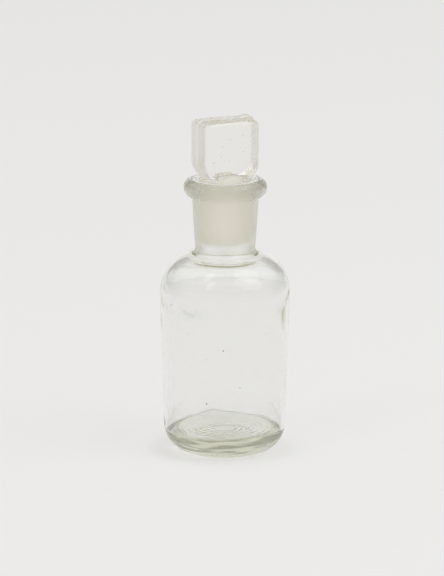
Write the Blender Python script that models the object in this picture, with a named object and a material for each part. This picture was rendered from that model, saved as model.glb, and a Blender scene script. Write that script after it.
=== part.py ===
"""A small narrow-mouth reagent bottle of clear glass with its solid ground-glass stopper.

The bottle is blown in a mould: a heavy flat base with a shallow recess, a side wall that draws in towards
the foot, a round shoulder, a throat that flares below the ground bore, and a thick rolled lip. The stopper
is pressed in one piece: a block head that runs down into a ground conical plug. Units are metres, +Z is
up, and the origin is the middle of the surface that the bottle stands on.
"""

import math

import bmesh
import bpy
from mathutils import Matrix

# Bottle, outside
BODY_DIAMETER = 0.0398
SIDE_DRAW_IN = 0.0013
BEARING_WIDTH = 0.0020
BASE_RECESS = 0.0003
RECESS_ROUND = 0.0006
HEEL_SPREAD = 0.0080
HEEL_HEIGHT = 0.0085
SIDE_LENGTH = 0.0401
SHOULDER_RISE = 0.0130
NECK_LENGTH = 0.0176
NECK_TAPER = 0.12
NECK_FILLET = 0.0008
LIP_FILLET = 0.0006
LIP_OVERHANG = 0.0026
LIP_UNDERSIDE = 0.0030
LIP_TOP = 0.0024
LIP_ROUND = 0.0023

# Bottle, inside
UPPER_WALL = 0.0013
LOWER_WALL = 0.0011
SHOULDER_WALL = 0.00255
MOUTH_WALL = 0.00225
MOUTH_ROUND = 0.0006
GROUND_LENGTH = 0.0190
THROAT_FLARE = 0.0044
THROAT_TURN = math.radians(79.9)
FLOOR_THICKNESS = 0.00685
INNER_HEEL_RADIUS = 0.0008

# Ground joint, shared by the neck's bore and the plug
PLUG_DIAMETER = 0.0158
PLUG_LENGTH = 0.0193
GROUND_TAPER = 0.10
SEAT_GAP = 0.0003

# Stopper above the plug
PLUG_END_CHAMFER = 0.0008
CONE_HEIGHT = 0.0030
HEAD_LIFT = 0.0004
HEAD_WIDTH = 0.0189
HEAD_THICKNESS = 0.0120
HEAD_HEIGHT = 0.0180
HEAD_DRAFT = 0.0004
HEAD_TOP_RADIUS = 0.0018
HEAD_FOOT_RADIUS = 0.0038
HEAD_FOOT_RISE = 0.0054
HEAD_FACE_ROUND = 0.0011
HEAD_TURN = math.radians(23.5)

# Faceting
TURNED_SIDES = 64
CURVE_STEPS = 9
SMALL_CURVE_STEPS = 5
FILLET_STEPS = 3
SHARP_ANGLE = math.radians(35.0)

# Heights of the bottle's outline above the standing surface
HEEL_TOP = HEEL_HEIGHT
SIDE_TOP = HEEL_TOP + SIDE_LENGTH
SHOULDER_TOP = SIDE_TOP + SHOULDER_RISE
NECK_TOP = SHOULDER_TOP + NECK_LENGTH
LIP_CREST = NECK_TOP + LIP_UNDERSIDE
MOUTH = LIP_CREST + LIP_TOP


def plug_radius(height):
    """Radius of the ground plug's cone, which is flush with the mouth at its wide end."""
    return PLUG_DIAMETER / 2 - GROUND_TAPER / 2 * (MOUTH - height)


def bore_radius(height):
    """Radius of the neck's ground bore, which the plug seats in."""
    return plug_radius(height) + SEAT_GAP


def neck_radius(height):
    """Outer radius of the neck, which tapers a little faster than the ground bore."""
    return bore_radius(MOUTH) + MOUTH_WALL - NECK_TAPER / 2 * (MOUTH - height)


def side_radius(height):
    """Outer radius of the side wall, which draws in from the shoulder down to the heel."""
    share = (SIDE_TOP - height) / SIDE_LENGTH
    return BODY_DIAMETER / 2 - SIDE_DRAW_IN * share


def arc(centre, radii, start, end, steps):
    """Points of a round or oval arc in the outline's plane, with angles in degrees."""
    points = []
    for step in range(steps + 1):
        angle = math.radians(start + (end - start) * step / steps)
        points.append((centre[0] + radii[0] * math.cos(angle), centre[1] + radii[1] * math.sin(angle)))
    return points


def bottle_outside():
    """Outline from the middle of the base, up the outside, to the top of the lip."""
    bearing = side_radius(HEEL_TOP) - HEEL_SPREAD
    recess = bearing - BEARING_WIDTH - RECESS_ROUND
    neck_root = neck_radius(SHOULDER_TOP + NECK_FILLET)
    shoulder_middle = neck_root + NECK_FILLET
    lip_root = neck_radius(NECK_TOP - LIP_FILLET)
    lip_middle = lip_root + LIP_OVERHANG - LIP_ROUND
    outline = [(0.0, BASE_RECESS)]
    outline += arc((recess, 0.0), (RECESS_ROUND, BASE_RECESS), 90, 0, FILLET_STEPS)
    outline += arc((bearing, HEEL_TOP), (HEEL_SPREAD, HEEL_HEIGHT), -90, 0, CURVE_STEPS)
    outline += arc((shoulder_middle, SIDE_TOP), (BODY_DIAMETER / 2 - shoulder_middle, SHOULDER_RISE),
                   0, 90, CURVE_STEPS)
    outline += arc((shoulder_middle, SHOULDER_TOP + NECK_FILLET), (NECK_FILLET, NECK_FILLET),
                   -90, -180, FILLET_STEPS)[1:]
    outline += arc((lip_root + LIP_FILLET, NECK_TOP - LIP_FILLET), (LIP_FILLET, LIP_FILLET),
                   180, 90, FILLET_STEPS)
    outline += arc((lip_root + LIP_FILLET, LIP_CREST), (LIP_OVERHANG - LIP_FILLET, LIP_UNDERSIDE),
                   -90, 0, SMALL_CURVE_STEPS)[1:]
    outline += arc((lip_middle, LIP_CREST), (LIP_ROUND, LIP_TOP), 0, 90, SMALL_CURVE_STEPS)[1:]
    return outline


def inner_shoulder(start, slope):
    """Oval arc that leaves the throat along its slope and ends upright on the side wall's inner face."""
    rise = start[1] - SIDE_TOP
    across = BODY_DIAMETER / 2 - UPPER_WALL - start[0]
    reach = across ** 2 / (rise / slope - 2 * across)
    width = across + reach
    height = width * math.sqrt(slope * rise / reach)
    turn = math.degrees(math.acos(reach / width))
    return arc((start[0] - reach, SIDE_TOP), (width, height), turn, 0, CURVE_STEPS)


def bottle_inside():
    """Outline from the mouth, down the ground bore and the inside, to the middle of the floor."""
    ground_end = MOUTH - GROUND_LENGTH
    throat_drop = (ground_end - SHOULDER_TOP + SHOULDER_WALL) / math.sin(THROAT_TURN)
    throat_slope = throat_drop / THROAT_FLARE / math.tan(THROAT_TURN)
    fillet_top = FLOOR_THICKNESS + INNER_HEEL_RADIUS
    wall = side_radius(fillet_top) - LOWER_WALL
    rim = MOUTH - MOUTH_ROUND
    outline = arc((bore_radius(rim) + MOUTH_ROUND, rim), (MOUTH_ROUND, MOUTH_ROUND), 90, 180, FILLET_STEPS)
    outline += arc((bore_radius(ground_end) + THROAT_FLARE, ground_end), (THROAT_FLARE, throat_drop),
                   180, 180 + math.degrees(THROAT_TURN), CURVE_STEPS)
    outline += inner_shoulder(outline[-1], throat_slope)[1:]
    outline += arc((wall - INNER_HEEL_RADIUS, fillet_top), (INNER_HEEL_RADIUS, INNER_HEEL_RADIUS),
                   0, -90, SMALL_CURVE_STEPS)
    outline.append((0.0, FLOOR_THICKNESS))
    return outline


def plug_outline():
    """Outline of the turned part of the stopper, whose stem ends inside the head."""
    end = MOUTH - PLUG_LENGTH
    stem = min(HEAD_THICKNESS, HEAD_WIDTH) / 2 - HEAD_DRAFT - HEAD_FACE_ROUND
    stem_end = MOUTH + HEAD_LIFT + HEAD_HEIGHT / 2
    return [
        (0.0, stem_end),
        (stem, stem_end),
        (stem, MOUTH + CONE_HEIGHT),
        (plug_radius(MOUTH), MOUTH),
        (plug_radius(end + PLUG_END_CHAMFER), end + PLUG_END_CHAMFER),
        (plug_radius(end) - PLUG_END_CHAMFER, end),
        (0.0, end),
    ]


def head_outline():
    """Corner points of the head seen from the front, round at its top and drawn in at its foot."""
    side = HEAD_WIDTH / 2
    foot = HEAD_LIFT + HEAD_FOOT_RISE
    shoulder = HEAD_LIFT + HEAD_HEIGHT - HEAD_TOP_RADIUS
    foot_radii = (HEAD_FOOT_RADIUS, HEAD_FOOT_RISE)
    top_radii = (HEAD_TOP_RADIUS, HEAD_TOP_RADIUS)
    outline = arc((side - HEAD_FOOT_RADIUS, foot), foot_radii, -90, 0, SMALL_CURVE_STEPS)
    outline += arc((side - HEAD_TOP_RADIUS, shoulder), top_radii, 0, 90, SMALL_CURVE_STEPS)
    outline += arc((HEAD_TOP_RADIUS - side, shoulder), top_radii, 90, 180, SMALL_CURVE_STEPS)
    outline += arc((HEAD_FOOT_RADIUS - side, foot), foot_radii, 180, 270, SMALL_CURVE_STEPS)
    return outline


def glass(name, colour, roughness):
    """A clear glass with the faint cast of the photographed one."""
    material = bpy.data.materials.new(name)
    material.use_nodes = True
    shader = material.node_tree.nodes["Principled BSDF"]
    shader.inputs["Base Color"].default_value = (*colour, 1.0)
    shader.inputs["Roughness"].default_value = roughness
    shader.inputs["Metallic"].default_value = 0.0
    shader.inputs["IOR"].default_value = 1.52
    shader.inputs["Transmission Weight"].default_value = 1.0
    return material


def finish(name, bm, material=None):
    """Turns a bmesh into a named object, shaded smooth up to its sharp edges."""
    bmesh.ops.recalc_face_normals(bm, faces=bm.faces)
    mesh = bpy.data.meshes.new(name)
    bm.to_mesh(mesh)
    bm.free()
    mesh.shade_smooth()
    mesh.set_sharp_from_angle(angle=SHARP_ANGLE)
    if material is not None:
        mesh.materials.append(material)
    piece = bpy.data.objects.new(name, mesh)
    bpy.context.scene.collection.objects.link(piece)
    return piece


def turned(outline, origin_height=0.0):
    """Spins an outline, which starts and ends on the axis, into a closed solid of revolution."""
    bm = bmesh.new()
    rim = [bm.verts.new((radius, 0.0, height - origin_height)) for radius, height in outline]
    edges = [bm.edges.new(pair) for pair in zip(rim, rim[1:])]
    bmesh.ops.spin(bm, geom=rim + edges, cent=(0, 0, 0), axis=(0, 0, 1), angle=2 * math.pi,
                   steps=TURNED_SIDES, use_merge=True)
    bmesh.ops.remove_doubles(bm, verts=bm.verts, dist=1e-6)
    return bm


def pressed_head():
    """The stopper's head, pressed in two halves that draw in from the parting line to each face."""
    bm = bmesh.new()
    middle = HEAD_LIFT + HEAD_HEIGHT / 2
    draw = (1 - 2 * HEAD_DRAFT / HEAD_WIDTH, 1.0, 1 - 2 * HEAD_DRAFT / HEAD_HEIGHT)
    about_middle = Matrix.Translation((0, 0, -middle))
    parting = bm.faces.new([bm.verts.new((across, 0.0, height)) for across, height in head_outline()])
    rims = []
    for side in (-1, 1):
        made = bmesh.ops.extrude_face_region(bm, geom=[parting], use_keep_orig=True)["geom"]
        verts = [item for item in made if isinstance(item, bmesh.types.BMVert)]
        bmesh.ops.translate(bm, verts=verts, vec=(0, side * HEAD_THICKNESS / 2, 0))
        bmesh.ops.scale(bm, verts=verts, vec=draw, space=about_middle)
        rims += [edge for edge in bm.edges if edge.verts[0] in verts and edge.verts[1] in verts]
    bmesh.ops.delete(bm, geom=[parting], context="FACES_ONLY")
    bmesh.ops.bevel(bm, geom=rims, offset=HEAD_FACE_ROUND, segments=3, profile=0.5, affect="EDGES",
                    material=-1)
    return bm


def make_bottle(material):
    """The blown bottle, one wall of glass from the base to the lip."""
    return finish("bottle", turned(bottle_outside() + bottle_inside()), material)


def make_stopper(material):
    """The pressed stopper: its head joined to the turned cone and plug, on the mouth's axis."""
    stopper = finish("stopper", turned(plug_outline(), MOUTH), material)
    head = finish("stopper_head_form", pressed_head(), material)
    head.parent = stopper
    head.hide_render = True
    head.display_type = "WIRE"
    join = stopper.modifiers.new("head", "BOOLEAN")
    join.operation = "UNION"
    join.solver = "EXACT"
    join.object = head
    stopper.location.z = MOUTH
    stopper.rotation_euler.z = HEAD_TURN
    return stopper


def main():
    for leftover in list(bpy.data.objects):
        bpy.data.objects.remove(leftover, do_unlink=True)
    make_bottle(glass("bottle_glass", (0.83, 0.86, 0.82), 0.04))
    make_stopper(glass("stopper_glass", (0.82, 0.85, 0.80), 0.06))


main()
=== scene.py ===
# %% [markdown]
# A glass bottle is hard to draw and pleasant to model, because the glass does the drawing itself. Nearly
# every dark line in the photograph is a bend in the wall that sends the eye somewhere darker than the
# pale table. So this lesson spends its effort on the shape of both faces of the glass, outside and
# inside, and lets refraction find the lines.

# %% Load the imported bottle
import math

import bmesh
import bpy
import numpy as np
from mathutils import Matrix, Vector, noise


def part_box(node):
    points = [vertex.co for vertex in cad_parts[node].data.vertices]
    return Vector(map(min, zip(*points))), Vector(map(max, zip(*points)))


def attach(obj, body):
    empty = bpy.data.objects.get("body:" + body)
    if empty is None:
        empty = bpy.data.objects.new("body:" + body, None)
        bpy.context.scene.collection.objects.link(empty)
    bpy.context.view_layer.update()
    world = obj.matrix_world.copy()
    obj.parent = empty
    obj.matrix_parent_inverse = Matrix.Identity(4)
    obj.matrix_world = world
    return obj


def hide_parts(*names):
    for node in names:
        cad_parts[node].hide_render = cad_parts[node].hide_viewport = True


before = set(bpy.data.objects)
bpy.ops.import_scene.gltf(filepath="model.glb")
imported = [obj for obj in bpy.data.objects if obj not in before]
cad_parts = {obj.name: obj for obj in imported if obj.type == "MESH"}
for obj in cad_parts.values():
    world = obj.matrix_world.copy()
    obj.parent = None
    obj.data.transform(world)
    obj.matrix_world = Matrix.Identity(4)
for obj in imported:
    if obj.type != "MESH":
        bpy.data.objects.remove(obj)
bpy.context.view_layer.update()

# %% [markdown]
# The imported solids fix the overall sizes: how wide the body is, how high the mouth and the stopper's head
# stand, and where the plug ends. They are read from the solids' boxes, so the fine glass made here lies
# on the plain solids. The other sizes are those of the wall itself, in millimetres, measured up from the
# table.

# %% Sizes of the bottle
MM = 0.001
bottle_low, bottle_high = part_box("bottle")
stopper_low, stopper_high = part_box("stopper")
BODY_RADIUS = (bottle_high.x - bottle_low.x) / 2
MOUTH = bottle_high.z
PLUG_END = stopper_low.z
HEAD_TOP = stopper_high.z

HEEL_TOP = 8.5 * MM
SIDE_TOP = 48.6 * MM
SHOULDER_TOP = 61.6 * MM
NECK_TOP = 79.2 * MM
LIP_CREST = 82.2 * MM
SIDE_DRAW_IN = 1.3 * MM


def side_radius(height):
    return BODY_RADIUS - SIDE_DRAW_IN * (SIDE_TOP - height) / (SIDE_TOP - HEEL_TOP)


print("bottle", round(MOUTH / MM, 1), "mm tall,", round(2 * BODY_RADIUS / MM, 1), "mm across; stopper from",
      round(PLUG_END / MM, 1), "to", round(HEAD_TOP / MM, 1))

# %% [markdown]
# The stopper's plug and the neck's bore are one cone, ground together with wet grit until they seal. Both
# come from the same two functions here, so they can't drift apart: the bore is the plug plus a thin gap.
# The neck outside tapers a little faster than the cone inside it.

# %% The ground cone
PLUG_RADIUS = 7.9 * MM
GROUND_TAPER = 0.10
SEAT_GAP = 0.3 * MM
NECK_TAPER = 0.12
MOUTH_WALL = 2.25 * MM


def plug_radius(height):
    return PLUG_RADIUS - GROUND_TAPER / 2 * (MOUTH - height)


def bore_radius(height):
    return plug_radius(height) + SEAT_GAP


def neck_radius(height):
    return bore_radius(MOUTH) + MOUTH_WALL - NECK_TAPER / 2 * (MOUTH - height)


print("plug", round(2 * plug_radius(PLUG_END) / MM, 2), "to", round(2 * plug_radius(MOUTH) / MM, 2),
      "mm across")

# %% [markdown]
# The camera stands more than ten bottle heights away and looks down a little, so the bottle hardly tapers
# in the picture. A photograph tells how many millimetres one pixel covers at the bottle, and the lens
# follows from that and from the distance. The slight roll is the photographer's own.

# %% Camera
FRAME_HEIGHT = 576
METRES_PER_PIXEL = 0.305 * MM
CAMERA_DISTANCE = 1.27
CAMERA_ELEVATION = math.radians(13.1)
CAMERA_ROLL = math.radians(0.15)
AIM = Vector((-0.93 * MM, 0.0, 50.5 * MM))

camera_data = bpy.data.cameras.new("camera")
camera_data.sensor_fit = "VERTICAL"
camera_data.sensor_height = 24.0
camera_data.lens = camera_data.sensor_height * CAMERA_DISTANCE / (FRAME_HEIGHT * METRES_PER_PIXEL)
camera_data.clip_start = 0.01
camera = bpy.data.objects.new("camera", camera_data)
bpy.context.scene.collection.objects.link(camera)
bpy.context.scene.camera = camera
away = Vector((0.0, -math.cos(CAMERA_ELEVATION), math.sin(CAMERA_ELEVATION)))
turn = Matrix.Rotation(math.pi / 2 - CAMERA_ELEVATION, 4, "X") @ Matrix.Rotation(CAMERA_ROLL, 4, "Z")
camera.matrix_world = Matrix.Translation(AIM + away * CAMERA_DISTANCE) @ turn
print("lens", round(camera_data.lens, 1), "mm")

# %% [markdown]
# The bottle stands on plain pale paper. Lit paper would need a lot of light to look white, and that light
# would wash out the glass. So the paper shows one even brightness to the eye and to the glass, through
# the Light Path node, and a share of it stays ordinary matt paper, which keeps a soft shadow under and
# behind the bottle.

# %% Paper floor
FLOOR_SIZE = 6.0
PAPER_WHITE = 0.87
SHADOW_SHARE = 0.6
floor_bm = bmesh.new()
bmesh.ops.create_grid(floor_bm, x_segments=1, y_segments=1, size=FLOOR_SIZE / 2)
floor_mesh = bpy.data.meshes.new("floor")
floor_bm.to_mesh(floor_mesh)
floor_bm.free()
floor = bpy.data.objects.new("floor", floor_mesh)
bpy.context.scene.collection.objects.link(floor)

paper = bpy.data.materials.new("paper")
paper.use_nodes = True
paper_nodes, paper_links = paper.node_tree.nodes, paper.node_tree.links
matt = paper_nodes["Principled BSDF"]
matt.inputs["Base Color"].default_value = (PAPER_WHITE, PAPER_WHITE, PAPER_WHITE, 1.0)
matt.inputs["Roughness"].default_value = 1.0
matt.inputs["Specular IOR Level"].default_value = 0.0
even = paper_nodes.new("ShaderNodeEmission")
even.inputs["Color"].default_value = (PAPER_WHITE, PAPER_WHITE, PAPER_WHITE, 1.0)
ray = paper_nodes.new("ShaderNodeLightPath")
seen = paper_nodes.new("ShaderNodeMath")
seen.operation = "MAXIMUM"
paper_links.new(ray.outputs["Is Camera Ray"], seen.inputs[0])
paper_links.new(ray.outputs["Is Glossy Ray"], seen.inputs[1])
seen_through = paper_nodes.new("ShaderNodeMath")
seen_through.operation = "MAXIMUM"
paper_links.new(seen.outputs[0], seen_through.inputs[0])
paper_links.new(ray.outputs["Is Transmission Ray"], seen_through.inputs[1])
share = paper_nodes.new("ShaderNodeMath")
share.operation = "MULTIPLY"
share.inputs[1].default_value = 1.0 - SHADOW_SHARE
paper_links.new(seen_through.outputs[0], share.inputs[0])
blend = paper_nodes.new("ShaderNodeMixShader")
paper_links.new(share.outputs[0], blend.inputs["Fac"])
paper_links.new(matt.outputs[0], blend.inputs[1])
paper_links.new(even.outputs[0], blend.inputs[2])
paper_links.new(blend.outputs[0], paper_nodes["Material Output"].inputs["Surface"])
floor_mesh.materials.append(paper)
print("floor", FLOOR_SIZE, "m square, paper white", PAPER_WHITE)

# %% [markdown]
# Clear glass shows its surroundings and little else. A low, wide sheet of the same pale paper stands
# behind the bottle and the room just above and beside it is dim, while everything in front is pale and
# even. The dim room is what draws the dark edges on the shoulder, the lip and the base, so the sheet's
# edges matter more than any lamp.

# %% Room
BACK_LEVELS = [(0.0, 0.80), (0.03, 0.34), (0.30, 0.45), (0.62, 0.84), (1.0, 0.86)]
FRONT_LEVELS = [(0.0, 0.80), (0.45, 0.80), (0.75, 0.86)]
FRONT_FADE = (-0.25, 0.25)
SHEET_SIDES = (0.40, 0.70)
SHEET_TOP = (0.23, 0.31)
ROOM_TONE = (1.0, 0.985, 0.96)
world = bpy.data.worlds.new("studio")
bpy.context.scene.world = world
world.use_nodes = True
sky, sky_links = world.node_tree.nodes, world.node_tree.links
where = sky.new("ShaderNodeTexCoord")
split = sky.new("ShaderNodeSeparateXYZ")
sky_links.new(where.outputs["Generated"], split.inputs["Vector"])


def room_side(levels):
    fade = sky.new("ShaderNodeValToRGB")
    while len(fade.color_ramp.elements) < len(levels):
        fade.color_ramp.elements.new(0.5)
    for stop, (rise, level) in zip(fade.color_ramp.elements, levels):
        stop.position = rise
        stop.color = tuple(level * tone for tone in ROOM_TONE) + (1.0,)
    sky_links.new(split.outputs["Z"], fade.inputs["Fac"])
    return fade.outputs["Color"]


def sky_blend(share, first, second):
    node = sky.new("ShaderNodeMix")
    node.data_type = "RGBA"
    sky_links.new(share, node.inputs["Factor"])
    for socket, colour in ((node.inputs["A"], first), (node.inputs["B"], second)):
        if isinstance(colour, bpy.types.NodeSocket):
            sky_links.new(colour, socket)
        else:
            socket.default_value = colour
    return node.outputs["Result"]


def sky_math(operation, first, second=None):
    node = sky.new("ShaderNodeMath")
    node.operation = operation
    for socket, value in zip(node.inputs, (first, second)):
        if isinstance(value, bpy.types.NodeSocket):
            sky_links.new(value, socket)
        elif value is not None:
            socket.default_value = value
    return node.outputs[0]


def soft_edge(value, inner, outer):
    node = sky.new("ShaderNodeMapRange")
    node.interpolation_type = "SMOOTHSTEP"
    node.inputs["From Min"].default_value = inner
    node.inputs["From Max"].default_value = outer
    node.inputs["To Min"].default_value = 1.0
    node.inputs["To Max"].default_value = 0.0
    sky_links.new(value, node.inputs["Value"])
    return node.outputs["Result"]


aside = soft_edge(sky_math("ABSOLUTE", split.outputs["X"]), *SHEET_SIDES)
below = soft_edge(split.outputs["Z"], *SHEET_TOP)
behind = sky_math("GREATER_THAN", split.outputs["Y"], 0.0)
sheet = sky_math("MULTIPLY", sky_math("MULTIPLY", aside, below), behind)
in_front = soft_edge(split.outputs["Y"], *FRONT_FADE)
room = sky_blend(in_front, room_side(BACK_LEVELS), room_side(FRONT_LEVELS))
room = sky_blend(sheet, room, (PAPER_WHITE, PAPER_WHITE, PAPER_WHITE, 1.0))
sky_links.new(room, sky["Background"].inputs["Color"])
sky["Background"].inputs["Strength"].default_value = 1.0
print("room behind from", BACK_LEVELS[1][1], "near the horizon to", BACK_LEVELS[-1][1], "overhead")

# %% [markdown]
# Two soft lamps stand in front, left and right. They are large and weak, so each leaves one soft
# highlight on the shoulder and no glare. Light inside thick glass bounces many times before it leaves, so
# the bounce limits go up, and the Filter Glossy shortcut goes off, because it eats much of the light
# between two ground faces.

# %% Lamps and light bounces
LAMP_AIM = Vector((0.0, 0.0, 50 * MM))
LIGHT_BOUNCES = 48


def softbox(name, azimuth, elevation, distance, size, power):
    lamp = bpy.data.lights.new(name, "AREA")
    lamp.shape = "ELLIPSE"
    lamp.size, lamp.size_y = size
    lamp.energy = power
    spot = bpy.data.objects.new(name, lamp)
    bpy.context.scene.collection.objects.link(spot)
    a, e = math.radians(azimuth), math.radians(elevation)
    towards = Vector((math.sin(a) * math.cos(e), -math.cos(a) * math.cos(e), math.sin(e)))
    spot.matrix_world = (
        Matrix.Translation(LAMP_AIM + towards * distance)
        @ towards.to_track_quat("Z", "Y").to_matrix().to_4x4()
    )
    print(name, power, "W from azimuth", azimuth, "and elevation", elevation)
    return spot


softbox("softbox_left", -44, 54, 1.2, (0.26, 0.60), 0.6)
softbox("softbox_right", 64, 54, 1.2, (0.80, 0.95), 2.0)
bpy.context.scene.view_settings.view_transform = "Standard"
for kind in ("max_bounces", "transmission_bounces", "glossy_bounces", "diffuse_bounces"):
    setattr(bpy.context.scene.cycles, kind, LIGHT_BOUNCES)
bpy.context.scene.cycles.blur_glossy = 0.0

# %% [markdown]
# Old bottle glass is clear with a faint olive cast that only shows where the eye looks through a lot of
# it, in the base and along the edges. A coloured surface would tint thin and thick glass alike, so the
# colour sits in the volume, as absorption per metre. Each piece keeps one material for all its faces: the
# renderer pairs every way in with a way out of the same material, and a ray that entered by one and left
# by another would carry the tint out into the room.

# %% Clear glass
GLASS_IOR = 1.52
TINT_DENSITY = 100.0


def clear_glass(name, absorption):
    material = bpy.data.materials.new(name)
    material.use_nodes = True
    nodes, links = material.node_tree.nodes, material.node_tree.links
    shader = nodes["Principled BSDF"]
    shader.inputs["IOR"].default_value = GLASS_IOR
    shader.inputs["Transmission Weight"].default_value = 1.0
    tint = nodes.new("ShaderNodeVolumeAbsorption")
    tint.inputs["Color"].default_value = tuple(1.0 - a / TINT_DENSITY for a in absorption) + (1.0,)
    tint.inputs["Density"].default_value = TINT_DENSITY
    links.new(tint.outputs["Volume"], nodes["Material Output"].inputs["Volume"])
    print(name, "absorbs", absorption, "per metre")
    return material


bottle_glass = clear_glass("bottle_glass", (10.5, 10.2, 16.5))
stopper_glass = clear_glass("stopper_glass", (3.0, 3.2, 5.0))

# %% [markdown]
# Grinding leaves a matt, slightly warm face with fine rings round the axis, and the rest of the glass
# keeps its polish apart from faint wear. One number per vertex, 1 where the face is ground and 0 where it
# is polished, steers all of it: the roughness, the warmth and the depth of the rings. A second number
# greys the glass: partly real residue, partly painted shade that darkens places where clean glass came
# out too light. Both are painted on once the meshes stand.

# %% Ground and polished faces
GROUND_ROUGHNESS = 0.55
GROUND_WARMTH = (0.99, 0.968, 0.938, 1.0)
WARM_FROM = 0.65
# Grey of the residue and of the painted shade on the glass.
RESIDUE_AND_SHADE_COLOUR = (0.45, 0.46, 0.42, 1.0)
RING_DEPTH = 0.004 * MM
RING_SCALE = (120.0, 120.0, 5200.0)
CLOUD_SCALE = (260.0, 260.0, 260.0)


def frost_by_grinding(material, wear):
    nodes, links = material.node_tree.nodes, material.node_tree.links
    shader = nodes["Principled BSDF"]
    ground = nodes.new("ShaderNodeAttribute")
    ground.attribute_name = "ground"
    coords = nodes.new("ShaderNodeTexCoord")

    def scaled_noise(scale, detail):
        stretch = nodes.new("ShaderNodeVectorMath")
        stretch.operation = "MULTIPLY"
        stretch.inputs[1].default_value = scale
        links.new(coords.outputs["Object"], stretch.inputs[0])
        grain = nodes.new("ShaderNodeTexNoise")
        grain.inputs["Scale"].default_value = 1.0
        grain.inputs["Detail"].default_value = detail
        links.new(stretch.outputs[0], grain.inputs["Vector"])
        return grain.outputs["Fac"]

    def mapped(value, low, high):
        node = nodes.new("ShaderNodeMapRange")
        node.inputs["From Min"].default_value = 0.3
        node.inputs["From Max"].default_value = 0.7
        node.inputs["To Min"].default_value = low
        node.inputs["To Max"].default_value = high
        links.new(value, node.inputs["Value"])
        return node.outputs["Result"]

    def product(first, second):
        node = nodes.new("ShaderNodeMath")
        node.operation = "MULTIPLY"
        for socket, value in zip(node.inputs, (first, second)):
            if isinstance(value, bpy.types.NodeSocket):
                links.new(value, socket)
            else:
                socket.default_value = value
        return node.outputs[0]

    rings = scaled_noise(RING_SCALE, 3.0)
    cloud = scaled_noise(CLOUD_SCALE, 4.0)
    frosted = product(mapped(cloud, 0.92, 1.08), product(ground.outputs["Fac"], GROUND_ROUGHNESS))
    rough = nodes.new("ShaderNodeMath")
    rough.operation = "ADD"
    links.new(frosted, rough.inputs[0])
    links.new(mapped(cloud, 0.0, wear), rough.inputs[1])
    links.new(rough.outputs[0], shader.inputs["Roughness"])

    warm = nodes.new("ShaderNodeMix")
    warm.data_type = "RGBA"
    warm.inputs["A"].default_value = (1.0, 1.0, 1.0, 1.0)
    warm.inputs["B"].default_value = GROUND_WARMTH
    fully = nodes.new("ShaderNodeMapRange")
    fully.inputs["From Min"].default_value = WARM_FROM
    links.new(ground.outputs["Fac"], fully.inputs["Value"])
    links.new(fully.outputs["Result"], warm.inputs["Factor"])
    # This mix greys the glass: real residue in some places, painted shade in others.
    residue_and_shade = nodes.new("ShaderNodeAttribute")
    residue_and_shade.attribute_name = "residue_and_shade"
    residue_and_shade_mix = nodes.new("ShaderNodeMix")
    residue_and_shade_mix.data_type = "RGBA"
    residue_and_shade_mix.inputs["B"].default_value = RESIDUE_AND_SHADE_COLOUR
    links.new(residue_and_shade.outputs["Fac"], residue_and_shade_mix.inputs["Factor"])
    links.new(warm.outputs["Result"], residue_and_shade_mix.inputs["A"])
    links.new(residue_and_shade_mix.outputs["Result"], shader.inputs["Base Color"])

    relief = nodes.new("ShaderNodeBump")
    relief.inputs["Distance"].default_value = RING_DEPTH
    links.new(rings, relief.inputs["Height"])
    links.new(ground.outputs["Fac"], relief.inputs["Strength"])
    links.new(relief.outputs["Normal"], shader.inputs["Normal"])
    print(material.name, "has", len(nodes), "nodes")


frost_by_grinding(bottle_glass, 0.02)
frost_by_grinding(stopper_glass, 0.03)

# %% [markdown]
# A bottle is a body of revolution, so each of its two skins is one outline spun round the axis. Outlines
# of blown glass are arcs that run into each other. Two small helpers lay points along round or oval arcs
# and along straight walls.

# %% Outline helpers


def arc(centre, radii, start, end, steps):
    points = []
    for step in range(steps + 1):
        angle = math.radians(start + (end - start) * step / steps)
        points.append((centre[0] + radii[0] * math.cos(angle), centre[1] + radii[1] * math.sin(angle)))
    return points


def line(start, end, steps):
    return [(start[0] + (end[0] - start[0]) * s / steps, start[1] + (end[1] - start[1]) * s / steps)
            for s in range(1, steps)]


print("a quarter round of 1 mm:", len(arc((0, 0), (MM, MM), 0, 90, 8)), "points")

# %% [markdown]
# The outside skin starts in the middle of the base. The base is nearly flat with a shallow recess, so the
# bottle stands on a ring. The heel is a wide oval, the side leans out a little towards the top, the
# shoulder is nearly a quarter circle, and the lip is a bead of glass rolled round the mouth.

# %% Outside of the bottle
HEEL_SPREAD = 8.0 * MM
BEARING_WIDTH = 2.0 * MM
BASE_RECESS = 0.3 * MM
RECESS_ROUND = 0.6 * MM
NECK_FILLET = 1.3 * MM
LIP_FILLET = 0.6 * MM
LIP_OVERHANG = 2.6 * MM
LIP_ROUND = 2.3 * MM
bearing = side_radius(HEEL_TOP) - HEEL_SPREAD
recess = bearing - BEARING_WIDTH - RECESS_ROUND
shoulder_middle = neck_radius(SHOULDER_TOP + NECK_FILLET) + NECK_FILLET
lip_root = neck_radius(NECK_TOP - LIP_FILLET)
outside = [(0.0, BASE_RECESS)] + line((0.0, BASE_RECESS), (recess, BASE_RECESS), 8)
outside += arc((recess, 0.0), (RECESS_ROUND, BASE_RECESS), 90, 0, 8)
outside += arc((bearing, HEEL_TOP), (HEEL_SPREAD, HEEL_TOP), -90, 0, 30)
outside += line(outside[-1], (BODY_RADIUS, SIDE_TOP), 30)
shoulder_size = (BODY_RADIUS - shoulder_middle, SHOULDER_TOP - SIDE_TOP)
outside += arc((shoulder_middle, SIDE_TOP), shoulder_size, 0, 90, 40)
neck_foot = (shoulder_middle, SHOULDER_TOP + NECK_FILLET)
outside += arc(neck_foot, (NECK_FILLET, NECK_FILLET), -90, -180, 10)[1:]
outside += line(outside[-1], (lip_root, NECK_TOP - LIP_FILLET), 14)
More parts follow.
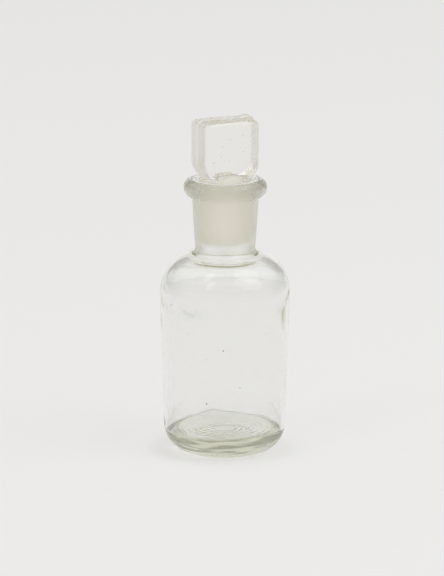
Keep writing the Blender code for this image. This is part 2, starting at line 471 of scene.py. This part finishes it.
outside += arc((lip_root + LIP_FILLET, NECK_TOP - LIP_FILLET), (LIP_FILLET, LIP_FILLET), 180, 90, 8)
underside = (LIP_OVERHANG - LIP_FILLET, LIP_CREST - NECK_TOP)
outside += arc((lip_root + LIP_FILLET, LIP_CREST), underside, -90, 0, 14)[1:]
lip_top = (LIP_ROUND, MOUTH - LIP_CREST)
outside += arc((lip_root + LIP_OVERHANG - LIP_ROUND, LIP_CREST), lip_top, 0, 90, 16)[1:]
lip_width = 2 * max(r for r, z in outside[-40:])
print("outside:", len(outside), "points, lip", round(lip_width / MM, 1), "mm across")

# %% [markdown]
# The inside skin starts at the mouth and runs down the ground bore. Below the plug the bore flares into
# the shoulder: glass was gathered thick here, so the inner shoulder hangs lower than the outer one. The
# flare is part of an oval, and the inner shoulder is a second oval that leaves it on the same slope. That
# pair has one solution, which the lines below work out. Then the wall thins towards the foot, and the
# floor is flat and thick with a tight corner.

# %% Inside of the bottle
UPPER_WALL = 1.3 * MM
LOWER_WALL = 1.1 * MM
SHOULDER_WALL = 2.3 * MM
MOUTH_ROUND = 0.9 * MM
GROUND_END = MOUTH - 19.0 * MM
THROAT_FLARE = 4.5 * MM
THROAT_TURN = 79.9
FLOOR = 6.85 * MM
INNER_HEEL_RADIUS = 0.8 * MM
rim = MOUTH - MOUTH_ROUND
throat_drop = (GROUND_END - SHOULDER_TOP + SHOULDER_WALL) / math.sin(math.radians(THROAT_TURN))
throat_slope = throat_drop / THROAT_FLARE / math.tan(math.radians(THROAT_TURN))
inside = arc((bore_radius(rim) + MOUTH_ROUND, rim), (MOUTH_ROUND, MOUTH_ROUND), 90, 180, 10)
inside += line(inside[-1], (bore_radius(GROUND_END), GROUND_END), 24)
inside += arc((bore_radius(GROUND_END) + THROAT_FLARE, GROUND_END), (THROAT_FLARE, throat_drop),
              180, 180 + THROAT_TURN, 40)
throat_radius, throat_height = inside[-1]
rise = throat_height - SIDE_TOP
across = BODY_RADIUS - UPPER_WALL - throat_radius
reach = across ** 2 / (rise / throat_slope - 2 * across)
dome_width = across + reach
dome_height = dome_width * math.sqrt(throat_slope * rise / reach)
dome_start = math.degrees(math.acos(reach / dome_width))
inside += arc((throat_radius - reach, SIDE_TOP), (dome_width, dome_height), dome_start, 0, 44)[1:]
fillet_top = FLOOR + INNER_HEEL_RADIUS
wall = side_radius(fillet_top) - LOWER_WALL
inside += line(inside[-1], (wall, fillet_top), 60)
inside += arc((wall - INNER_HEEL_RADIUS, fillet_top), (INNER_HEEL_RADIUS, INNER_HEEL_RADIUS), 0, -90, 14)
floor_edge = inside[-1]
floor_middle = (wall - 4.5 * MM, FLOOR)
inside += line(floor_edge, floor_middle, 50) + [floor_middle]
inside += line(floor_middle, (0.0, FLOOR), 70) + [(0.0, FLOOR)]
print("inside:", len(inside), "points; throat ends at radius", round(throat_radius / MM, 2), "and height",
      round(throat_height / MM, 2))

# %% [markdown]
# Spinning a fine outline all the way round in one step is slow, so one eighth is spun and seven turned
# copies close the circle. Points that fall on each other are merged afterwards, and the normals are
# worked out again, because a renderer needs to know which side of every face is glass.

# %% Spinning a skin
MERGE = 0.002 * MM


def spun(outline, steps):
    """A skin turned from an outline: one eighth is spun, and turned copies of it close the circle."""
    bm = bmesh.new()
    verts = [bm.verts.new((radius, 0.0, height)) for radius, height in outline]
    edges = [bm.edges.new(pair) for pair in zip(verts, verts[1:])]
    eighth = math.pi / 4
    bmesh.ops.spin(bm, geom=verts + edges, cent=(0, 0, 0), axis=(0, 0, 1), angle=eighth, steps=steps // 8)
    sector = bm.verts[:] + bm.edges[:] + bm.faces[:]
    for k in range(1, 8):
        copy = bmesh.ops.duplicate(bm, geom=sector)["geom"]
        copied = [item for item in copy if isinstance(item, bmesh.types.BMVert)]
        bmesh.ops.rotate(bm, verts=copied, cent=(0, 0, 0), matrix=Matrix.Rotation(k * eighth, 3, "Z"))
    bmesh.ops.remove_doubles(bm, verts=bm.verts, dist=MERGE)
    return bm


def add_skin(bm, other):
    carrier = bpy.data.meshes.new("carrier")
    other.to_mesh(carrier)
    other.free()
    bm.from_mesh(carrier)
    bpy.data.meshes.remove(carrier)
    bmesh.ops.remove_doubles(bm, verts=bm.verts, dist=MERGE)
    bmesh.ops.recalc_face_normals(bm, faces=bm.faces)


SPIN_STEPS = 240
bottle_bm = spun(inside, SPIN_STEPS)
print("inside skin:", len(bottle_bm.faces), "faces")

# %% [markdown]
# A mould shapes only the outside of a blown bottle. The inside is free glass: it swims, and it freezes
# with waves, a heavy side and a floor that is not quite level. Those waves bend the view through the
# bottle, and without them the glass looks like plastic. Smooth noise moves the inner wall by a few tenths
# of a millimetre, most near the shoulder.

# %% Waves of the blown wall
HEAVY_SIDE = 0.15 * MM
THIN_SHOULDER = 0.25 * MM
THROAT_TILT = 0.004


def bump(value, centre, spread):
    return math.exp(-((value - centre) / spread) ** 2)


def turn_from(angle, centre):
    return abs((angle - centre + math.pi) % (2 * math.pi) - math.pi)


def blown_wall(angle, height):
    """How much thicker than its outline the blown wall is, in metres."""
    spot = Vector((math.cos(angle), math.sin(angle), 0.0)) * 2.0
    slow = noise.noise(spot + Vector((3.1, 0.7, height / (14 * MM))))
    quick = noise.noise(spot * 2.3 + Vector((9.4, 5.2, height / (6 * MM))))
    band = 0.35 + 0.65 * bump(height, 44 * MM, 9 * MM)
    heavy = HEAVY_SIDE * bump(turn_from(angle, 0.0), 0.0, 0.7) * bump(height, 38 * MM, 7 * MM)
    thin = THIN_SHOULDER * bump(turn_from(angle, 0.0), 0.0, 0.9) * bump(height, 54 * MM, 5 * MM)
    return (0.22 * slow + 0.12 * quick) * band * MM + heavy - thin


for vert in bottle_bm.verts:
    radius, height = math.hypot(vert.co.x, vert.co.y), vert.co.z
    fade_out = min(1.0, max(0.0, (throat_height - height) / (4 * MM)))
    if height > FLOOR + 0.15 * MM and fade_out > 0:
        grown = radius - blown_wall(math.atan2(vert.co.y, vert.co.x), height) * fade_out
        vert.co.x *= grown / radius
        vert.co.y *= grown / radius
    if 50 * MM < height < GROUND_END:
        vert.co.z += THROAT_TILT * vert.co.x * bump(height, throat_height, 3 * MM)
uneven = blown_wall(0.0, 40 * MM) - blown_wall(math.pi, 40 * MM)
print("wall differs by", round(uneven / MM, 2), "mm from one side of the body to the other")

# %% [markdown]
# The floor inside shows faint rings from the tool that pressed it, and its corner runs up and down round
# the wall. Seen through the side of the bottle that wandering corner is the bright and dark line above
# the base. A short table of angles and heights describes it, and shallow bumps round the axis make the
# rings.

# %% Rings and corner of the floor
RING_RADII = [(3.7 + 1.7 * step) * MM for step in range(8)]
RING_HEIGHT = 0.05 * MM
RING_GROWTH = 1.2
RING_SPREAD = 0.38 * MM
RING_WOBBLE = 0.9 * MM
CORNER_RISE = [(-180, -0.6), (-145, -0.7), (-115, 0.0), (-95, 0.1), (-75, 0.5), (-50, 0.5),
               (-30, 0.1), (0, -0.6), (25, -0.5), (45, -0.2), (75, -0.1), (88, 0.3),
               (102, 1.0), (112, 0.5), (122, -0.2), (150, -0.4), (180, -0.6)]
corner_turns = [math.radians(turn) for turn, height in CORNER_RISE]
corner_heights = [height * MM for turn, height in CORNER_RISE]


def floor_relief(radius, angle):
    spot = Vector((math.cos(angle), math.sin(angle), 0.0))
    wobble = noise.noise(spot * 1.6 + Vector((2.0, 4.0, radius / (4 * MM))))
    rings = sum(bump(radius + RING_WOBBLE * wobble, centre, RING_SPREAD) for centre in RING_RADII)
    corner = float(np.interp(angle, corner_turns, corner_heights))
    return RING_HEIGHT * (1 + RING_GROWTH * radius / wall) * rings + corner * (radius / wall) ** 4


for vert in bottle_bm.verts:
    low = min(1.0, max(0.0, (fillet_top + 2 * MM - vert.co.z) / (2 * MM)))
    if low > 0:
        radius, angle = math.hypot(vert.co.x, vert.co.y), math.atan2(vert.co.y, vert.co.x)
        vert.co.z += floor_relief(radius, angle) * low
print("floor corner from", min(corner_heights) / MM, "to", max(corner_heights) / MM, "mm")

# %% [markdown]
# Light runs along inside the thick base and bounces between the floor and the underside, so every ripple
# there shows as a light or dark streak. The underside of a blown bottle is chilled by its mould and comes
# out slightly uneven. The same smooth noise lifts the recess a little and ripples the heel in long flat
# waves.

# %% Ripples of the base
UNDERSIDE_RIPPLE = 0.06 * MM
HEEL_RIPPLE = 0.26 * MM
outside_bm = spun(outside, SPIN_STEPS)
for vert in outside_bm.verts:
    radius, height = math.hypot(vert.co.x, vert.co.y), vert.co.z
    if radius < recess:
        spot = Vector((vert.co.x / (5 * MM), vert.co.y / (3 * MM), 1.7))
        vert.co.z += UNDERSIDE_RIPPLE * noise.noise(spot) * min(1.0, (recess - radius) / (2 * MM))
    elif 0.2 * MM < height < HEEL_TOP and radius > bearing:
        angle = math.atan2(vert.co.y, vert.co.x)
        spot = Vector((2.5 * math.cos(angle), 2.5 * math.sin(angle), height / (1.0 * MM)))
        grown = 1 + HEEL_RIPPLE / radius * noise.noise(spot) * (1 - height / HEEL_TOP)
        vert.co.x *= grown
        vert.co.y *= grown
print("base ripples of", UNDERSIDE_RIPPLE / MM, "mm below and", HEEL_RIPPLE / MM, "mm on the heel")

# %% [markdown]
# Old glass holds seeds, which are tiny bubbles that froze in it. A seed is a small ball of air, so its
# mesh is a ball turned inside out: its faces point into the bubble, away from the glass. Each is placed
# by its turn round the axis, its height and its depth, and a low-resolution ball is plenty at this size.

# %% Seeds
BOTTLE_SEEDS = [(-91.5, 35.5, 0.55, 0.24), (-107.0, 18.6, 0.50, 0.30), (-60.0, 27.0, 0.55, 0.12),
                (-125.0, 40.0, 0.6, 0.12), (40.0, 33.0, 0.6, 0.2), (110.0, 24.0, 0.6, 0.15),
                (160.0, 44.0, 0.6, 0.2), (75.0, 15.0, 0.5, 0.18)]


def add_seed(bm, place, radius):
    ball = bmesh.ops.create_icosphere(bm, subdivisions=2, radius=radius, matrix=Matrix.Translation(place))
    faces = {face for vert in ball["verts"] for face in vert.link_faces}
    bmesh.ops.reverse_faces(bm, faces=list(faces))


def seed_bottle(bm):
    for turn, height, depth, radius in BOTTLE_SEEDS:
        out = side_radius(height * MM) - depth * MM
        angle = math.radians(turn)
        add_seed(bm, Vector((out * math.cos(angle), out * math.sin(angle), height * MM)), radius * MM)
    print(len(BOTTLE_SEEDS), "seeds in the bottle")


# %% [markdown]
# The two skins meet at the mouth and close into one wall of glass. Linking a mesh and painting a number
# on its points, for grinding, residue and painted shade, are the same work for both pieces, so each gets
# a small helper that the stopper uses again.

# %% Bottle
add_skin(bottle_bm, outside_bm)
seed_bottle(bottle_bm)


def link_piece(name, bm, material):
    mesh = bpy.data.meshes.new(name)
    bm.to_mesh(mesh)
    bm.free()
    mesh.shade_smooth()
    mesh.materials.append(material)
    piece = bpy.data.objects.new(name, mesh)
    bpy.context.scene.collection.objects.link(piece)
    return piece


def paint(piece, finish_and_shade, share_at):
    """Writes a number from 0 to 1 for each point into an attribute that the glass reads, for grinding,
    residue and painted shade.
    """
    count = len(piece.data.vertices)
    points = np.empty(count * 3)
    piece.data.vertices.foreach_get("co", points)
    shares = share_at(points.reshape(-1, 3))
    layer = piece.data.attributes.new(finish_and_shade, "FLOAT", "POINT")
    layer.data.foreach_set("value", shares.astype(np.float32))
    print(piece.name, count, "points,", int((shares > 0.01).sum()), "of them with", finish_and_shade)


bottle = link_piece("bottle_glass", bottle_bm, bottle_glass)

# %% [markdown]
# The bore is ground up to the mouth. The grit also dulled the rounded edge of the mouth and the top of
# the throat, and the outside of the neck has a satin skin. So the number is 1 in the bore and less on the
# other three, and it fades out at the foot of the neck and down the throat instead of stopping at a line.

# %% Ground faces of the bottle
GROUND_TOP = MOUTH - 0.1 * MM
FROST_END = 61.5 * MM
FROST_SHARE = 0.6
NECK_DULL = 0.62
EDGE_DULL = 0.7


def ground_in_bore(points):
    radii, heights = np.hypot(points[:, 0], points[:, 1]), points[:, 2]
    at_bore = (heights > GROUND_END - 0.01 * MM) & (heights < GROUND_TOP)
    in_bore = at_bore & (radii < bore_radius(heights) + 0.05 * MM)
    in_throat = (radii < bore_radius(GROUND_END) + 1.5 * MM) & (heights > FROST_END)
    frost = FROST_SHARE * np.clip((heights - FROST_END) / (GROUND_END - FROST_END), 0, 1)
    on_neck = (radii > neck_radius(heights) - 0.1 * MM) & (heights < NECK_TOP - LIP_FILLET + 0.1 * MM)
    dull = NECK_DULL * on_neck * np.clip((heights - SHOULDER_TOP + 0.4 * MM) / (1.2 * MM), 0, 1)
    edge = (radii < bore_radius(MOUTH) + MOUTH_ROUND + 0.1 * MM) & (heights > MOUTH - MOUTH_ROUND)
    return np.maximum.reduce([in_bore, EDGE_DULL * edge, dull, in_throat * frost * (heights < GROUND_END)])


paint(bottle, "ground", ground_in_bore)

# %% [markdown]
# A used bottle is never quite clean: broken clouds of residue lie at the old fill line, which are noise
# inside soft patches. The rest of this number is painted shade: a dark line in the corner of the floor,
# an even share on the inside of the body, and one that grows towards the top of the lip, which darken
# both to the tone wanted. Then the piece rides on the bottle's body of the imported model and stands for
# its plain solid.

# %% Residue and painted shade on the bottle
FILL_LINE = 46.0 * MM
FILL_SPREAD = 1.4 * MM
# Painted shade: a dark line along the corner of the floor, this far in from the wall and this wide.
CORNER_SHADE_INSET = 0.3 * MM
CORNER_SHADE_SPREAD = 0.17 * MM
# Painted shade: an even grey on the inner wall of the body.
BODY_PAINTED_SHADE = 0.07
# Painted shade: the lip greys more towards its top.
LIP_PAINTED_SHADE = 0.55
FILM_PATCHES = [(-163, 14, 0.5), (-126, 14, 0.45), (-27, 9, 0.5), (60, 30, 0.12), (150, 20, 0.12)]


def residue_and_shade_on_bottle(points):
    radii, heights = np.hypot(points[:, 0], points[:, 1]), points[:, 2]
    angles = np.degrees(np.arctan2(points[:, 1], points[:, 0]))
    inner = radii < side_radius(heights) - 0.6 * MM
    near_floor = inner & (heights > FLOOR - 1.2 * MM) & (heights < FLOOR + 3.0 * MM)
    # Painted shade: a dark line along the corner of the floor inside.
    residue_and_shade = near_floor * np.exp(-((radii - wall + CORNER_SHADE_INSET) / CORNER_SHADE_SPREAD) ** 2)
    clouded = points * (0.5, 0.5, 1.0) * (heights > 40 * MM)[:, None] / (0.9 * MM)
    cloud = np.array([noise.fractal(Vector(point), 0.8, 2.0, 3) for point in clouded])
    # Real residue: broken clouds at the old fill line.
    for angle, spread, strength in FILM_PATCHES:
        off = (angles - angle + 180) % 360 - 180
        patch = strength * np.exp(-(off / spread) ** 2 - ((heights - FILL_LINE) / FILL_SPREAD) ** 2)
        residue_and_shade += inner * patch * np.clip(0.6 + 1.2 * cloud, 0, 1)
    # Painted shade: an even grey over the inner wall of the body.
    on_wall = inner & (heights > FLOOR) & (heights < 55 * MM)
    residue_and_shade += BODY_PAINTED_SHADE * on_wall
    # Painted shade: darker towards the top of the lip.
    on_lip = radii > bore_radius(MOUTH) + MOUTH_ROUND
    residue_and_shade += LIP_PAINTED_SHADE * on_lip * np.clip((heights - NECK_TOP) / (MOUTH - NECK_TOP), 0, 1)
    return np.clip(residue_and_shade, 0, 1)


paint(bottle, "residue_and_shade", residue_and_shade_on_bottle)
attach(bottle, "bottle")
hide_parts("bottle")

# %% [markdown]
# The stopper is pressed in a two-part mould: a block head with soft edges that draws in at its foot and
# sits on a cone, and the plug below. Its outline changes with the angle, from square at the head to round
# at the plug. So a plain cylinder is spun first, and each of its points is then pushed out to the radius
# that the stopper has at that angle and height.

# %% Stopper outline
HEAD_LIFT = 0.4 * MM
HEAD_WIDTH = 18.9 * MM
HEAD_THICKNESS = 12.0 * MM
HEAD_DRAFT = 0.4 * MM
HEAD_TOP_RADIUS = 1.8 * MM
HEAD_FOOT_RADIUS = 3.8 * MM
HEAD_FOOT_RISE = 5.4 * MM
HEAD_FACE_ROUND = 1.1 * MM
HEAD_TURN = math.radians(23.5)
HEAD_FOOT = MOUTH + HEAD_LIFT
CONE_HEIGHT = 2.3 * MM
CONE_TOP_RADIUS = 4.9 * MM
LEFT_EDGE_POWER = 12
RIGHT_EDGE_POWER = 10
FOOT_EDGE_POWER = 6
CONE_BLEND = 0.3 * MM
PLUG_END_CHAMFER = 0.8 * MM
SEAM_HEIGHT = 0.2 * MM
SEAM_WIDTH = 0.3 * MM


def quarter_round(depth, height, width):
    """How far a rounded edge draws in at a depth below its full width."""
    if depth >= height:
        return 0.0
    share = 1 - max(depth, 0.0) / height
    return width * (1 - math.sqrt(1 - share ** 2))


def block_radius(angle, height):
    half_width = HEAD_WIDTH / 2 - quarter_round(HEAD_TOP - height, HEAD_TOP_RADIUS, HEAD_TOP_RADIUS)
    half_width -= quarter_round(height - HEAD_FOOT, HEAD_FOOT_RISE, HEAD_FOOT_RADIUS)
    half_depth = HEAD_THICKNESS / 2 - quarter_round(HEAD_TOP - height, HEAD_FACE_ROUND, HEAD_FACE_ROUND)
    power = RIGHT_EDGE_POWER if math.cos(angle) > 0 else LEFT_EDGE_POWER
    near_foot = min(1.0, max(0.0, 1 - (height - HEAD_FOOT) / HEAD_FOOT_RISE))
    power += (FOOT_EDGE_POWER - power) * near_foot
    slope = 2 * HEAD_DRAFT / HEAD_THICKNESS
    c, s = abs(math.cos(angle)), abs(math.sin(angle))
    side = (c + slope * s) / half_width
    face = s / half_depth
    radius = (side ** power + face ** power) ** (-1 / power)
    return radius + SEAM_HEIGHT * bump(s * radius, 0.0, SEAM_WIDTH)


def stopper_radius(angle, height):
    if height <= MOUTH:
        chamfer = max(PLUG_END + PLUG_END_CHAMFER - height, 0.0)
        return plug_radius(height) - chamfer
    share = (height - MOUTH) / CONE_HEIGHT
    cone = plug_radius(MOUTH) + (CONE_TOP_RADIUS - plug_radius(MOUTH)) * share
    if height < HEAD_FOOT:
        return cone
    block = block_radius(angle, height)
    if share > 1.6:
        return block
    return (block + cone + math.sqrt((block - cone) ** 2 + CONE_BLEND ** 2)) / 2


print("head", round(HEAD_WIDTH / MM, 1), "by", round(HEAD_THICKNESS / MM, 1), "mm, turned",
      round(math.degrees(HEAD_TURN), 1), "degrees")

# %% [markdown]
# The cylinder needs many levels where the foot of the head bends into the cone and few along the straight
# plug. Its top is closed by rings that shrink to the middle. The top of the head keeps the marks of the
# press: a low crown, a seam where the mould halves met, and a lump at one corner where the glass was cut
# off.

# %% Stopper mesh
LUMP = (7.4 * MM, -1.2 * MM)
LUMP_HEIGHT = 0.9 * MM
LUMP_SPREAD = 2.2 * MM
CROWN = 0.25 * MM
HEAD_SEEDS = [(-3.2, 95.5, -4.5, 0.28), (-3.4, 92.4, -4.0, 0.25), (-6.0, 90.8, -4.6, 0.28),
              (-0.8, 91.1, -4.2, 0.20), (-1.4, 88.8, -3.8, 0.22), (-5.1, 87.4, -3.0, 0.20),
              (3.5, 98.7, -4.4, 0.22), (-2.2, 94.1, -2.0, 0.14), (0.8, 96.9, 1.0, 0.17),
              (-6.8, 94.5, 2.0, 0.17), (3.9, 93.5, -3.5, 0.17), (3.9, 95.8, -3.6, 0.14)]
mandrel = [(s / 6, PLUG_END) for s in range(6)]
levels = [PLUG_END + PLUG_END_CHAMFER * s / 4 for s in range(5)]
plug_length = MOUTH - PLUG_END - PLUG_END_CHAMFER
levels += [PLUG_END + PLUG_END_CHAMFER + plug_length * s / 16 for s in range(1, 17)]
foot_step = 0.12 * MM
while levels[-1] + foot_step < HEAD_FOOT + HEAD_FOOT_RISE + 0.3 * MM:
    levels.append(levels[-1] + foot_step)
foot_end = levels[-1]
straight = HEAD_TOP - HEAD_TOP_RADIUS - foot_end
levels += [foot_end + straight * s / 12 for s in range(1, 13)]
levels += [HEAD_TOP - HEAD_TOP_RADIUS * (1 - math.sin(math.radians(90 * s / 16))) for s in range(1, 17)]
mandrel += [(1.0, level) for level in levels]
mandrel += [(1 - s / 40, HEAD_TOP) for s in range(1, 41)]


def top_rise(u, v):
    crown_drop = CROWN * ((u / (HEAD_WIDTH / 2)) ** 2 + (v / (HEAD_THICKNESS / 2)) ** 2)
    lump = LUMP_HEIGHT * math.exp(-((u - LUMP[0]) ** 2 + (v - LUMP[1]) ** 2) / LUMP_SPREAD ** 2)
    return lump - crown_drop + SEAM_HEIGHT * bump(v, 0.0, SEAM_WIDTH)


stopper_bm = spun(mandrel, 480)
for vert in stopper_bm.verts:
    share = math.hypot(vert.co.x, vert.co.y)
    angle = math.atan2(vert.co.y, vert.co.x)
    radius = share * stopper_radius(angle, vert.co.z)
    u, v = radius * math.cos(angle), radius * math.sin(angle)
    near_top = max(0.0, 1 - (HEAD_TOP - vert.co.z) / (3 * MM))
    if near_top > 0:
        vert.co.z += top_rise(u, -v) * near_top ** 2
    vert.co.x = u * math.cos(HEAD_TURN) - v * math.sin(HEAD_TURN)
    vert.co.y = u * math.sin(HEAD_TURN) + v * math.cos(HEAD_TURN)
bmesh.ops.recalc_face_normals(stopper_bm, faces=stopper_bm.faces)
for across, height, deep, radius in HEAD_SEEDS:
    spot = Vector((across * MM, deep * MM, height * MM))
    spot.rotate(Matrix.Rotation(HEAD_TURN, 3, "Z"))
    add_seed(stopper_bm, spot, radius * MM)
print("stopper:", len(stopper_bm.faces), "faces")

# %% [markdown]
# Only the plug is ground. The two wide flats of the head are polished clear, and its narrow sides,
# corners and top keep the dull skin of the mould, which spreads the light there into soft pale bands. The
# narrow sides also get a little painted shade that greys them. The piece then rides on the stopper's
# body, so it lifts out of the neck with the joint.

# %% Stopper
DULL_SHARE = 0.75
# Painted shade greying the narrow sides of the head.
HEAD_SIDE_SHADE = 0.18
FOOT_SHARE = 0.6
CORNER_SHARE = 0.4
stopper = link_piece("stopper_glass", stopper_bm, stopper_glass)


def narrow_sides(points):
    """1 on the two narrow sides of the head, 0 on its flats."""
    across = np.abs(points[:, 0] * math.cos(HEAD_TURN) + points[:, 1] * math.sin(HEAD_TURN))
    return np.clip((across - HEAD_WIDTH / 2 + 0.9 * MM) / (0.5 * MM), 0, 1)


def ground_or_dull(points):
    heights = points[:, 2]
    plug = (heights > PLUG_END + PLUG_END_CHAMFER - 0.01 * MM) & (heights < GROUND_TOP)
    deep = np.abs(points[:, 1] * math.cos(HEAD_TURN) - points[:, 0] * math.sin(HEAD_TURN))
    corner = np.clip((HEAD_THICKNESS / 2 - 0.05 * MM - deep) / (0.3 * MM), 0, 1)
    near_foot = np.clip((HEAD_FOOT + 1.2 * HEAD_FOOT_RISE - heights) / (2 * MM), 0, 1)
    corner *= CORNER_SHARE + (FOOT_SHARE - CORNER_SHARE) * near_foot
    dull = np.maximum(DULL_SHARE * narrow_sides(points), corner)
    return np.maximum(plug, dull * (heights > MOUTH))


# Painted shade: greys the narrow sides of the head.
def painted_shade_on_sides(points):
    return HEAD_SIDE_SHADE * narrow_sides(points) * (points[:, 2] > MOUTH)


paint(stopper, "ground", ground_or_dull)
paint(stopper, "residue_and_shade", painted_shade_on_sides)
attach(stopper, "stopper")
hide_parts("stopper")
